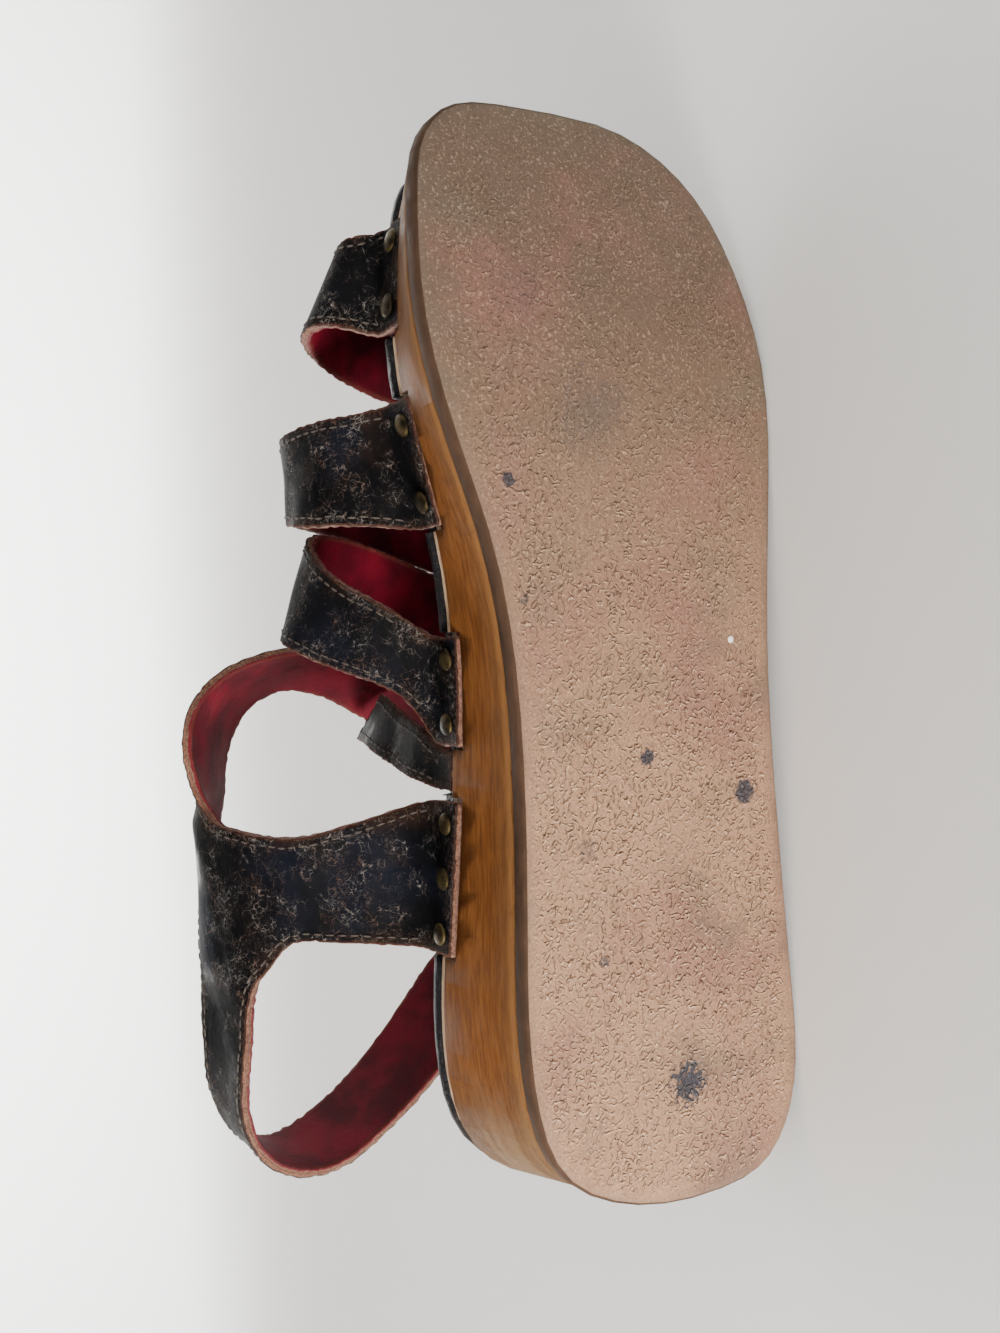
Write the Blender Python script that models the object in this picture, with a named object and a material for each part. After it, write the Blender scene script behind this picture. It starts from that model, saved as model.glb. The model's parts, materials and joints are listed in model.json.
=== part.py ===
"""Left platform sandal: rubber outsole, wooden platform, leather footbed and nailed leather straps.

It is worked out standing, in shoe measures (along = heel to toe, across = toward the medial side, up = sole to
ankle). On a left foot the medial side is -Y, so "across" is turned about when a mesh is made. One parent empty then
lays the sandal on its lateral side.
"""
import math
import bpy
import bmesh
import numpy as np
from mathutils import Matrix

for old in list(bpy.data.objects):
    bpy.data.objects.remove(old, do_unlink=True)

# Named sizes, in metres
LENGTH = 0.268          # sole, heel to toe
HALF = 0.048            # half the ball width
RISE = 0.110            # ankle strap above the walking face
CLEAR = 0.0003          # gap kept between pieces
OUTSOLE = 0.0048        # rubber sheet
EDGE = 0.0007           # broken edge of the rubber sheet
HEEL = 0.0378           # walking face to the wood's top edge, at the heel
TOE = 0.0209            # the same at the toe, above the sprung sole
SPRING = 0.0150         # how far the toe is lifted
SPRING_FROM = 0.68      # share of the length where the toe spring starts
BOARD = 0.0024          # raw leather board on the wood
FOOTBED = 0.0042        # padded, leather wrapped footbed
LEATHER = 0.0026        # two ply strap
NOTCH = 0.0016          # how deep a strap end is let into the wood
DROP = 0.0050           # strap ends below the wood's top edge
TACK = 0.0028           # radius of a tack head
TACK_RISE = 0.0013      # height of its dome
TACK_UP = 0.0042        # tack centre above the strap's cut end
TACK_SEAT = 0.0006      # tack head above the strap
RINGS = 40              # stations along the sole
STEM_CELLS = 8          # cells across a quarter's stem
STEM_ROWS = 12          # and up to its corners
ARM_COLUMNS = 4         # columns between a corner and the ring
TEE_TOP = (0.15, 0.80)  # shares of the ring's stretch that the stem reaches
MERGE = 1e-7            # points this near are one
UNDER_FROM = 0.058      # height from which the lateral quarter goes under the ankle strap
UNDER_OVER = 0.020      # and how soon
SHOULDER = 0.0035       # rise of a strap end's middle above the wood's top edge
SLOT_SIDE = 0.0012      # a notch is this much narrower at each side than its strap's row of points
SLOT_BACK = 0.0006      # and this much deeper
CUTTER_OUT = 0.012      # a notch's cutter reaches this far out
CUTTER_UP = 0.014       # and this far above the wood's top edge
WELT = 0.0002           # how far the footbed's wrapped edge stands in from the wood's
FOOTBED_ROUND = 0.0034  # how far its top edge is rounded over
WOOD_EDGE = 0.0010      # broken top edge of the wood

# Sole outline: place, share of LENGTH, share of HALF; up the medial side, round the toe and back
OUTLINE = [
    ("heel back", 0.000, -0.220), ("heel medial back", 0.022, 0.400), ("heel medial corner", 0.062, 0.700),
    ("heel medial", 0.135, 0.825), ("seat medial", 0.270, 0.800), ("waist medial", 0.460, 0.728),
    ("joint medial", 0.610, 0.800), ("ball medial", 0.710, 0.950), ("tread medial", 0.800, 1.014),
    ("toe medial", 0.900, 0.945), ("toe corner", 0.962, 0.820), ("toe front medial", 0.991, 0.640),
    ("toe front", 1.000, 0.200), ("toe front lateral", 0.984, -0.420), ("toe lateral corner", 0.938, -0.720),
    ("toe lateral", 0.860, -0.900), ("tread lateral", 0.760, -0.985), ("ball lateral", 0.660, -0.955),
    ("waist lateral", 0.500, -0.850), ("seat lateral", 0.330, -0.817), ("heel lateral", 0.160, -0.822),
    ("heel lateral corner", 0.050, -0.735), ("heel lateral back", 0.012, -0.560),
]
# How far the wood's top edge stands outside its lower edge: place, share of LENGTH, metres
FLARE = [("heel", 0.0, 0.0058), ("seat", 0.25, 0.0034), ("waist", 0.45, 0.0016), ("joint", 0.62, -0.0014),
         ("ball", 0.80, -0.0042), ("toe corner", 0.93, -0.0064), ("toe", 1.0, -0.0072)]

# Cross straps: place, then toe edge and heel edge as shares of LENGTH, HALF and RISE
STRAPS = {
    "toe_strap": [
        ("medial side", 0.899, 0.969, 0.345, 0.821, 1.094, 0.377),
        ("medial swell", 0.899, 0.979, 0.409, 0.823, 1.177, 0.450),
        ("medial shoulder", 0.896, 0.875, 0.473, 0.815, 1.062, 0.577),
        ("medial crown", 0.888, 0.625, 0.527, 0.795, 0.833, 0.636),
        ("crown", 0.873, 0.167, 0.559, 0.763, 0.250, 0.677),
        ("lateral crown", 0.854, -0.292, 0.536, 0.735, -0.333, 0.655),
        ("lateral shoulder", 0.836, -0.680, 0.464, 0.718, -0.792, 0.564),
        ("lateral swell", 0.825, -0.890, 0.373, 0.713, -1.030, 0.436)],
    "ball_strap": [
        ("medial side", 0.740, 1.083, 0.382, 0.639, 1.042, 0.382),
        ("medial swell", 0.738, 1.219, 0.509, 0.644, 1.250, 0.491),
        ("medial shoulder", 0.733, 1.208, 0.636, 0.653, 1.208, 0.645),
        ("medial crown", 0.724, 0.875, 0.764, 0.646, 0.875, 0.782),
        ("crown", 0.694, 0.167, 0.823, 0.603, 0.125, 0.864),
        ("lateral crown", 0.657, -0.500, 0.773, 0.560, -0.500, 0.818),
        ("lateral shoulder", 0.634, -0.875, 0.655, 0.537, -0.896, 0.682),
        ("lateral swell", 0.627, -1.062, 0.491, 0.526, -1.062, 0.509)],
    "instep_strap": [
        ("medial side", 0.556, 0.917, 0.355, 0.466, 0.854, 0.373),
        ("medial swell", 0.593, 1.125, 0.473, 0.504, 1.125, 0.455),
        ("medial shoulder", 0.634, 1.135, 0.609, 0.537, 1.340, 0.609),
        ("medial crown", 0.642, 0.875, 0.709, 0.541, 1.010, 0.764),
        ("crown", 0.593, 0.125, 0.795, 0.493, 0.125, 0.855),
        ("lateral crown", 0.541, -0.500, 0.745, 0.444, -0.542, 0.800),
        ("lateral shoulder", 0.511, -0.854, 0.618, 0.418, -0.896, 0.664),
        ("lateral swell", 0.500, -1.000, 0.455, 0.403, -1.021, 0.491)],
}
# Where their ends stand in the wood: toe edge and heel edge as shares of LENGTH
STRAP_ENDS = {
    "toe_strap": {"medial": (0.905, 0.806), "lateral": (0.817, 0.709)},
    "ball_strap": {"medial": (0.744, 0.631), "lateral": (0.627, 0.522)},
    "instep_strap": {"medial": (0.530, 0.431), "lateral": (0.502, 0.401)},
}
# Short tab behind the instep strap, with a square cut end under the ankle strap; columns as in STRAPS
TAB_ENDS = (0.4245, 0.3880)
TAB_IN = LEATHER + 0.0002   # it stands on the wood's rim, behind its edge
TAB = [
    ("side", 0.438, 0.740, 0.409, 0.394, 0.806, 0.418),
    ("middle", 0.450, 0.698, 0.545, 0.403, 0.792, 0.545),
    ("high", 0.463, 0.646, 0.682, 0.414, 0.792, 0.664),
    ("bend", 0.470, 0.563, 0.818, 0.422, 0.729, 0.800),
    ("cut end", 0.466, 0.440, 0.930, 0.421, 0.630, 0.945),
]
# Ring of the ankle strap and heel strap: place, then lower edge and upper edge in the same shares
RING = [
    ("front", 0.530, 1.042, 0.873, 0.487, 0.958, 1.018),
    ("front inner", 0.504, 0.417, 0.918, 0.451, 0.562, 1.027),
    ("instep", 0.451, 0.000, 0.918, 0.399, 0.208, 1.023),
    ("lateral front", 0.396, -0.396, 0.891, 0.347, -0.146, 1.000),
    ("lateral arm", 0.351, -0.646, 0.836, 0.310, -0.333, 0.973),
    ("lateral side", 0.284, -0.750, 0.764, 0.269, -0.458, 0.955),
    ("lateral rear", 0.209, -0.562, 0.745, 0.216, -0.250, 0.964),
    ("rear lateral", 0.134, -0.062, 0.791, 0.157, 0.167, 1.000),
    ("heel lateral", 0.056, 0.417, 0.800, 0.104, 0.458, 1.009),
    ("heel", 0.007, 0.875, 0.782, 0.037, 0.917, 0.995),
    ("heel medial", -0.011, 1.250, 0.759, 0.011, 1.292, 0.964),
    ("rear corner", 0.015, 1.583, 0.727, 0.015, 1.552, 0.927),
    ("rear medial", 0.097, 1.750, 0.682, 0.082, 1.792, 0.886),
    ("medial rear", 0.179, 1.698, 0.659, 0.179, 1.792, 0.882),
    ("medial side", 0.291, 1.750, 0.764, 0.299, 1.625, 1.018),
    ("medial front", 0.396, 1.771, 0.800, 0.388, 1.500, 1.000),
    ("front corner", 0.440, 1.812, 0.800, 0.422, 1.469, 1.000),
    ("front medial", 0.500, 1.646, 0.827, 0.470, 1.302, 1.009),
]
# T shaped quarters that carry the ring: stem rows from edge to edge, and the corners where they widen into the ring
QUARTERS = {
    "medial": {
        "ends": (0.379, 0.239), "ring": (-3.0, -5.0),
        "stem": [("low", 0.356, 1.271, 0.509, 0.248, 1.292, 0.545),
                 ("knee", 0.353, 1.552, 0.636, 0.240, 1.500, 0.632),
                 ("shoulder", 0.363, 1.760, 0.845, 0.221, 1.760, 0.760)],
        "first corner": ("front", 0.364, 1.698, 0.755),
        "last corner": ("rear", 0.211, 1.640, 0.654)},
    "lateral": {
        "ends": (0.228, 0.366), "ring": (6.0, 4.0),
        "stem": [("low", 0.229, -0.950, 0.455, 0.352, -0.935, 0.455),
                 ("knee", 0.228, -0.900, 0.582, 0.343, -0.880, 0.582),
                 ("shoulder", 0.228, -0.650, 0.800, 0.332, -0.640, 0.810)],
        "first corner": ("rear", 0.217, -0.760, 0.690),
        "last corner": ("front", 0.338, -0.780, 0.727)},
}
COLORS = {
    "rubber": (0.26, 0.19, 0.145, 1.0), "wood": (0.45, 0.20, 0.07, 1.0), "board": (0.52, 0.38, 0.25, 1.0),
    "footbed": (0.014, 0.013, 0.014, 1.0), "leather": (0.016, 0.016, 0.019, 1.0), "brass": (0.30, 0.21, 0.10, 1.0),
}
ROUGH = {"rubber": 0.8, "wood": 0.35, "board": 0.85, "footbed": 0.4, "leather": 0.38, "brass": 0.35}


def knots(rows, closed):
    """Chord length positions of the rows of control points."""
    flat = rows.reshape(len(rows), -1, rows.shape[-1])
    nxt = np.roll(flat, -1, axis=0) if closed else flat[1:]
    cur = flat if closed else flat[:-1]
    step = np.linalg.norm(nxt - cur, axis=2).mean(axis=1)
    return np.concatenate([[0.0], np.cumsum(step)])


def smooth(rows, closed=False):
    """Cubic spline with continuous curvature through rows of points; gives its knots and a function of position."""
    rows = np.asarray(rows, dtype=float)
    t = knots(rows, closed)
    h = np.diff(t)
    n = len(rows)
    flat = rows.reshape(n, -1)
    a = np.zeros((n, n))
    b = np.zeros_like(flat)
    for i in range(n):
        if not closed and i in (0, n - 1):
            a[i, i] = 1.0
            continue
        p, q = (i - 1) % n, (i + 1) % n
        hp, hq = h[(i - 1) % len(h)], h[i]
        a[i, p] += hp
        a[i, i] += 2 * (hp + hq)
        a[i, q] += hq
        b[i] = 6 * ((flat[q] - flat[i]) / hq - (flat[i] - flat[p]) / hp)
    bend = np.linalg.solve(a, b)

    def at(where):
        where = np.atleast_1d(np.asarray(where, dtype=float))
        if closed:
            where = np.mod(where, t[-1])
        i = np.clip(np.searchsorted(t, where, side="right") - 1, 0, len(h) - 1)
        j = (i + 1) % n
        d = h[i][:, None]
        u = (where - t[i])[:, None] / d
        w = 1 - u
        out = w * flat[i] + u * flat[j] + ((w ** 3 - w) * bend[i] + (u ** 3 - u) * bend[j]) * d * d / 6
        return out.reshape((len(where),) + rows.shape[1:])
    return t, at


def sprung(along):
    """Height of the walking face at a station."""
    over = np.clip((np.asarray(along) / LENGTH - SPRING_FROM) / (1 - SPRING_FROM), 0.0, 1.2)
    return SPRING * over ** 2


def wood_top(along):
    """Height of the wood's top edge at a station."""
    return HEEL + (TOE - HEEL) * np.asarray(along) / LENGTH + sprung(along)


def flare(along):
    return np.interp(np.asarray(along) / LENGTH, [r[1] for r in FLARE], [r[2] for r in FLARE])


def outline_curve():
    t, at = smooth([[LENGTH * r[1], HALF * r[2]] for r in OUTLINE], closed=True)
    pts = at(np.linspace(0, t[-1], 1600, endpoint=False))
    pts[:, 0] -= pts[:, 0].min()
    pts[:, 0] *= LENGTH / pts[:, 0].max()
    return pts


SOLE = outline_curve()


def offset_outline(grow):
    """The sole outline moved outward by grow(along)."""
    tangent = np.roll(SOLE, -1, axis=0) - np.roll(SOLE, 1, axis=0)
    tangent /= np.linalg.norm(tangent, axis=1, keepdims=True)
    area = np.sum(SOLE[:, 0] * np.roll(SOLE[:, 1], -1) - np.roll(SOLE[:, 0], -1) * SOLE[:, 1])
    normal = np.stack([tangent[:, 1], -tangent[:, 0]], axis=1) * np.sign(area)
    return SOLE + normal * np.atleast_1d(grow(SOLE[:, 0]))[:, None]


def sides(curve):
    """Medial and lateral side of a closed curve as functions of the station."""
    lo, hi = int(curve[:, 0].argmin()), int(curve[:, 0].argmax())
    turned = np.roll(curve, -lo, axis=0)
    top = (hi - lo) % len(curve)
    one, two = turned[:top + 1], np.vstack([turned[top:], turned[:1]])[::-1]
    if one[:, 1].mean() < two[:, 1].mean():
        one, two = two, one
    return one, two


WALL = {}
WALL["medial"], WALL["lateral"] = sides(offset_outline(flare))
SIGN = {"medial": 1.0, "lateral": -1.0}


def wall(side, along):
    """Across position of the wood's top edge."""
    return np.interp(along, WALL[side][:, 0], WALL[side][:, 1])


def material(name, kind):
    mat = bpy.data.materials.new(name)
    mat.use_nodes = True
    bsdf = mat.node_tree.nodes["Principled BSDF"]
    bsdf.inputs["Base Color"].default_value = COLORS[kind]
    bsdf.inputs["Roughness"].default_value = ROUGH[kind]
    bsdf.inputs["Metallic"].default_value = 1.0 if kind == "brass" else 0.0
    mat.diffuse_color = COLORS[kind]
    return mat


def solid(name, verts, faces, kind=None):
    """Mesh object from points in shoe measures, medial side toward -Y, with its faces turned outward."""
    mesh = bpy.data.meshes.new(name)
    mesh.from_pydata([(float(along), -float(across), float(up)) for along, across, up in verts], [], faces)
    bm = bmesh.new()
    bm.from_mesh(mesh)
    bmesh.ops.remove_doubles(bm, verts=bm.verts, dist=1e-6)
    bmesh.ops.dissolve_degenerate(bm, edges=bm.edges, dist=1e-7)
    bmesh.ops.recalc_face_normals(bm, faces=bm.faces)
    if bm.calc_volume(signed=True) < 0:
        bmesh.ops.reverse_faces(bm, faces=bm.faces)
    bm.to_mesh(mesh)
    bm.free()
    obj = bpy.data.objects.new(name, mesh)
    bpy.context.scene.collection.objects.link(obj)
    if kind:
        obj.data.materials.append(material(name, kind))
    return obj


def slab(name, levels, kind):
    """Closed slab with the sole's outline: levels of (how far it grows, height), from the bottom up."""
    rings = []
    for grow, height in levels:
        one, two = sides(offset_outline(grow))
        lo, hi = one[0, 0], one[-1, 0]
        along = lo + (hi - lo) * (1 - np.cos(np.pi * np.arange(RINGS + 1) / RINGS)) / 2
        med = np.interp(along, one[:, 0], one[:, 1])
        lat = np.interp(along, two[:, 0], two[:, 1])
        up = height(along)
        ring = [(along[k], med[k], up[k]) for k in range(RINGS + 1)]
        ring += [(along[k], lat[k], up[k]) for k in range(RINGS - 1, 0, -1)]
        rings.append(ring)
    n = 2 * RINGS
    verts = [p for ring in rings for p in ring]
    faces = []
    for r in range(len(rings) - 1):
        for k in range(n):
            faces.append((r * n + k, r * n + (k + 1) % n, (r + 1) * n + (k + 1) % n, (r + 1) * n + k))
    for base in (0, (len(rings) - 1) * n):
        for k in range(RINGS):
            quad = [base + k, base + k + 1, base + (n - k - 1) % n, base + (n - k) % n]
            seen = []
            for v in quad:
                if v not in seen:
                    seen.append(v)
            faces.append(tuple(seen))
    return solid(name, verts, faces, kind)


def sheet(name, grids, thick, kind, centre, under=None):
    """Closed leather sheet round a middle surface made of grids that share their edges; under(points) moves it in."""
    points, quads, base = [], [], 0
    for grid in grids:
        grid = np.asarray(grid)
        nu, nv = grid.shape[:2]
        i, j = [x.ravel() for x in np.meshgrid(np.arange(nu - 1), np.arange(nv - 1), indexing="ij")]
        corner = base + i * nv + j
        quads.append(np.stack([corner, corner + nv, corner + nv + 1, corner + 1], axis=1))
        points.append(grid.reshape(-1, 3))
        base += nu * nv
    points, quads = np.vstack(points), np.vstack(quads)
    _, first, same = np.unique(np.round(points / MERGE).astype(int), axis=0, return_index=True, return_inverse=True)
    points, quads = points[first], same.ravel()[quads]
    a, b, c, d = [points[quads[:, k]] for k in range(4)]
    face_normal = np.cross(c - a, d - b)
    normal = np.zeros_like(points)
    for k in range(4):
        np.add.at(normal, quads[:, k], face_normal)
    normal /= np.linalg.norm(normal, axis=1, keepdims=True)
    if np.sum(normal * (points - centre)) < 0:
        normal = -normal
    if under is not None:
        points = points - normal * under(points)[:, None]
    m = len(points)
    verts = np.vstack([points + normal * thick / 2, points - normal * thick / 2])
    faces = [tuple(q) for q in quads] + [tuple(m + v for v in q[::-1]) for q in quads]
    sides = {}
    for q in quads:
        for p, r in zip(q, np.roll(q, -1)):
            sides.setdefault((min(p, r), max(p, r)), []).append((p, r))
    faces += [(p, r, m + r, m + p) for (p, r), in (v for v in sides.values() if len(v) == 1)]
    return solid(name, verts, faces, kind)


def foot_rows(side, stations, let_in=NOTCH, drop=DROP):
    """Points of a strap end at the wood: cut end, middle and rim of the footbed, at each station."""
    across = wall(side, stations) + SIGN[side] * (LEATHER / 2 - let_in)
    top = wood_top(stations)
    heights = (top - drop, top + SHOULDER - drop / 2, top + BOARD + FOOTBED + 3 * CLEAR)
    return [np.stack([stations, across, h], axis=1) for h in heights]


def shares(row):
    """Toe edge and heel edge (or lower and upper edge) of one table row, in metres."""
    size = np.array([LENGTH, HALF, RISE])
    return np.array(row[1:4]) * size, np.array(row[4:7]) * size


def lerp(a, b, v):
    return a + (b - a) * v


def cross_strap(name, cells=3, steps=46):
    across = np.linspace(0, 1, cells + 1)
    ends = STRAP_ENDS[name]
    first = foot_rows("medial", lerp(*[LENGTH * e for e in ends["medial"]], across))
    last = foot_rows("lateral", lerp(*[LENGTH * e for e in ends["lateral"]], across))[::-1]
    middle = []
    for row in STRAPS[name]:
        toe, heel = shares(row)
        middle.append(np.array([lerp(toe, heel, v) for v in across]))
    t, at = smooth(first + middle + last)
    grid = at(np.linspace(0, t[-1], steps + 1))
    return sheet(name, [grid], LEATHER, "leather", np.array([grid[..., 0].mean(), 0.0, 0.32 * RISE]))


def tab_piece(name, cells=2, steps=14):
    across = np.linspace(0, 1, cells + 1)
    rows = foot_rows("medial", lerp(LENGTH * TAB_ENDS[0], LENGTH * TAB_ENDS[1], across), TAB_IN, -CLEAR)
    for row in TAB:
        toe, heel = shares(row)
        rows.append(np.array([lerp(toe, heel, v) for v in across]))
    t, at = smooth(rows)
    grid = at(np.linspace(0, t[-1], steps + 1))
    return sheet(name, [grid], LEATHER, "leather", np.array([0.42 * LENGTH, 0.0, 0.55 * RISE]))


HARNESS_MIDDLE = np.array([0.24 * LENGTH, 0.62 * HALF, 0.86 * RISE])
RING_T, RING_AT = smooth([shares(r) for r in RING], closed=True)


def ring(place):
    """Lower and upper edge of the ankle ring; place counts the rows of RING and may run past either end."""
    turns = np.floor(place / len(RING))
    t = np.interp(place - turns * len(RING), np.arange(len(RING) + 1), RING_T)
    return RING_AT(t)[0]


def ring_columns(start, stop, count, rows_v):
    out = []
    for place in np.linspace(start, stop, count):
        low, high = ring(place)
        out.append(lerp(low, high, rows_v[:, None]))
    return out


def tee(side, rows_v):
    """T of a quarter: columns from the ring to its first corner, the grid of its stem, and columns back to the ring."""
    q = QUARTERS[side]
    size = np.array([LENGTH, HALF, RISE])
    across = np.linspace(0, 1, STEM_CELLS + 1)
    foot = foot_rows(side, lerp(LENGTH * q["ends"][0], LENGTH * q["ends"][1], across))
    low, knee, shoulder = [shares(r) for r in q["stem"]]
    start, stop = q["ring"]
    tops = lerp(start, stop, np.array(TEE_TOP))
    corners = [np.array(q[key][1:]) * size for key in ("first corner", "last corner")]
    rows = foot + [np.array([lerp(r[0], r[1], v) for v in across]) for r in (low, knee, corners, shoulder)]
    rows.append(np.array([ring(lerp(tops[0], tops[1], v))[1] for v in across]))
    t, at = smooth(rows)
    bend = t[5]
    stem = np.concatenate([at(np.linspace(0, bend, STEM_ROWS + 1))[:-1], at(lerp(bend, t[-1], rows_v))])
    stem = stem.transpose(1, 0, 2)
    arms = []
    for k, (place, top) in enumerate(((start, tops[0]), (stop, tops[1]))):
        edge = [ring(place)[0], corners[k], knee[k], low[k], foot[2][-k]]
        te, at_e = smooth(edge)
        side_column = stem[-k][STEM_ROWS:]
        straight = lerp(side_column[0], side_column[-1], rows_v[:, None])
        columns = []
        for f in np.arange(1, ARM_COLUMNS + 1) / (ARM_COLUMNS + 1):
            bottom, high = at_e(f * te[1])[0], ring(lerp(place, top, f))[1]
            columns.append(lerp(bottom, high, rows_v[:, None]) + f * (side_column - straight))
        arms.append(columns + [side_column])
    return arms[0], stem, arms[1][::-1]


def harness():
    """Medial quarter with the ankle strap and heel strap in one piece, and the lateral quarter under their ends."""
    rows_v = np.linspace(0, 1, 9)
    tip, seam = 4.15, 6.15
    one, stem, two = tee("medial", rows_v)
    grids = [ring_columns(tip, -3.0, 30, rows_v) + one, stem, two + ring_columns(-5.0, seam - len(RING), 27, rows_v)]
    sheet("medial_quarter_and_ankle_strap", grids, LEATHER, "leather", HARNESS_MIDDLE)

    def under(points):
        rise = np.clip((points[:, 2] - UNDER_FROM) / UNDER_OVER, 0, 1)
        return (LEATHER + CLEAR) * rise * rise * (3 - 2 * rise)
    one, stem, two = tee("lateral", rows_v)
    grids = [ring_columns(7.0, 6.0, 5, rows_v) + one, stem, two + ring_columns(4.0, 2.6, 7, rows_v)]
    sheet("lateral_quarter", grids, LEATHER, "leather", HARNESS_MIDDLE, under)


def notch_cutter(name, side, one, two, let_in=NOTCH, drop=DROP):
    """Block that frees a strap end from the wood, the board and the footbed."""
    wider = np.sign(one - two) * SLOT_SIDE
    stations = np.linspace(LENGTH * one + wider, LENGTH * two - wider, 7)
    verts, faces = [], []
    for s in stations:
        inner = float(wall(side, s)) - SIGN[side] * (let_in + SLOT_BACK)
        outer = inner + SIGN[side] * CUTTER_OUT
        low, high = float(wood_top(s)) - drop - CLEAR, float(wood_top(s)) + CUTTER_UP
        verts += [(s, inner, low), (s, outer, low), (s, outer, high), (s, inner, high)]
    n = len(stations)
    for i in range(n - 1):
        for k in range(4):
            faces.append((i * 4 + k, i * 4 + (k + 1) % 4, i * 4 + 4 + (k + 1) % 4, i * 4 + 4 + k))
    faces += [(0, 1, 2, 3), (4 * n - 4, 4 * n - 3, 4 * n - 2, 4 * n - 1)]
    cutter = solid(name, verts, faces)
    cutter.hide_render = True
    cutter.display_type = "WIRE"
    return cutter


def cut(obj, cutters):
    for cutter in cutters:
        mod = obj.modifiers.new(cutter.name, "BOOLEAN")
        mod.operation = "DIFFERENCE"
        mod.solver = "EXACT"
        mod.object = cutter


def dome(name, side, station):
    """Domed tack head on the outer face of a strap end."""
    step = 0.001
    tangent = np.array([2 * step, float(wall(side, station + step) - wall(side, station - step)), 0.0])
    out = np.cross([0, 0, 1.0], tangent) * SIGN[side]
    out /= np.linalg.norm(out)
    side_axis = np.cross([0, 0, 1.0], out)
    centre = np.array([station, float(wall(side, station)), float(wood_top(station)) - DROP + TACK_UP])
    centre = centre + out * (LEATHER - NOTCH + TACK_SEAT)
    rings, count = 3, 10
    verts, faces = [centre], []
    for r in range(rings):
        angle = 0.5 * math.pi * r / rings
        for k in range(count):
            turn = 2 * math.pi * k / count
            spoke = side_axis * math.cos(turn) + np.array([0, 0, 1.0]) * math.sin(turn)
            rise = TACK_RISE * (0.25 + 0.75 * math.sin(angle)) * (r > 0)
            verts.append(centre + spoke * TACK * math.cos(angle) + out * rise)
    verts.append(centre + out * TACK_RISE)
    for k in range(count):
        nxt = (k + 1) % count
        faces.append((0, 1 + nxt, 1 + k))
        for r in range(rings - 1):
            a, b = 1 + r * count, 1 + (r + 1) * count
            faces.append((a + k, a + nxt, b + nxt, b + k))
        faces.append((1 + (rings - 1) * count + k, 1 + (rings - 1) * count + nxt, len(verts) - 1))
    return solid(name, verts, faces, "brass")


def build():
    flat = lambda grow: (lambda along: np.full(np.shape(along), grow))
    top = lambda lift: (lambda along: wood_top(along) + lift)
    face = lambda lift: (lambda along: sprung(along) + lift)
    part = lambda f: (lambda along: sprung(along) + OUTSOLE + CLEAR
                      + (wood_top(along) - sprung(along) - OUTSOLE - CLEAR) * f)
    grown = lambda f, extra=0.0: (lambda along: flare(along) * f + extra)
    slab("outsole", [(flat(-EDGE), face(0.0)), (flat(0.0), face(EDGE)), (flat(0.0), face(OUTSOLE - EDGE / 2)),
                     (flat(-EDGE / 2), face(OUTSOLE))], "rubber")
    wood = slab("wood_platform", [(grown(0.0, -0.8 * WOOD_EDGE), part(0.0)),
                                  (grown(0.02, -0.4 * WOOD_EDGE), part(0.02)),
                                  (grown(0.5, -0.2 * WOOD_EDGE), part(0.5)), (grown(1.0, 0.0), top(-WOOD_EDGE)),
                                  (grown(1.0, -0.3 * WOOD_EDGE), top(-0.3 * WOOD_EDGE)),
                                  (grown(1.0, -WOOD_EDGE), top(0.0))], "wood")
    board = slab("leather_board", [(grown(1.0, -WOOD_EDGE), top(CLEAR)), (grown(1.0, -WOOD_EDGE), top(BOARD))], "board")
    low = BOARD + CLEAR
    bed = slab("footbed", [(grown(1.0, -WELT - WOOD_EDGE), top(low)), (grown(1.0, -WELT), top(low + 0.21 * FOOTBED)),
                           (grown(1.0, -WELT), top(low + 0.62 * FOOTBED)),
                           (grown(1.0, -0.4 * FOOTBED_ROUND), top(low + 0.9 * FOOTBED)),
                           (grown(1.0, -FOOTBED_ROUND), top(low + FOOTBED))], "footbed")
    ends = [(name, side, pair) for name in STRAPS for side, pair in STRAP_ENDS[name].items()]
    ends += [("quarter", side, QUARTERS[side]["ends"]) for side in ("medial", "lateral")]
    cutters = [notch_cutter("notch_%s_%s" % (n, s), s, *pair) for n, s, pair in ends]
    slot = notch_cutter("notch_tab", "medial", *TAB_ENDS, TAB_IN, WOOD_EDGE)
    for obj in (wood, board, bed):
        cut(obj, cutters if obj == wood else cutters + [slot])
    for name in STRAPS:
        cross_strap(name)
    tab_piece("instep_tab")
    harness()
    for name, side, pair in ends:
        shares_of_width = (0.14, 0.5, 0.86) if (name, side) == ("quarter", "medial") else (0.2, 0.8)
        for i, v in enumerate(shares_of_width):
            dome("tack_%s_%s_%d" % (name.replace("_strap", ""), side, i + 1), side, LENGTH * lerp(pair[0], pair[1], v))
    return cutters + [slot]


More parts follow.
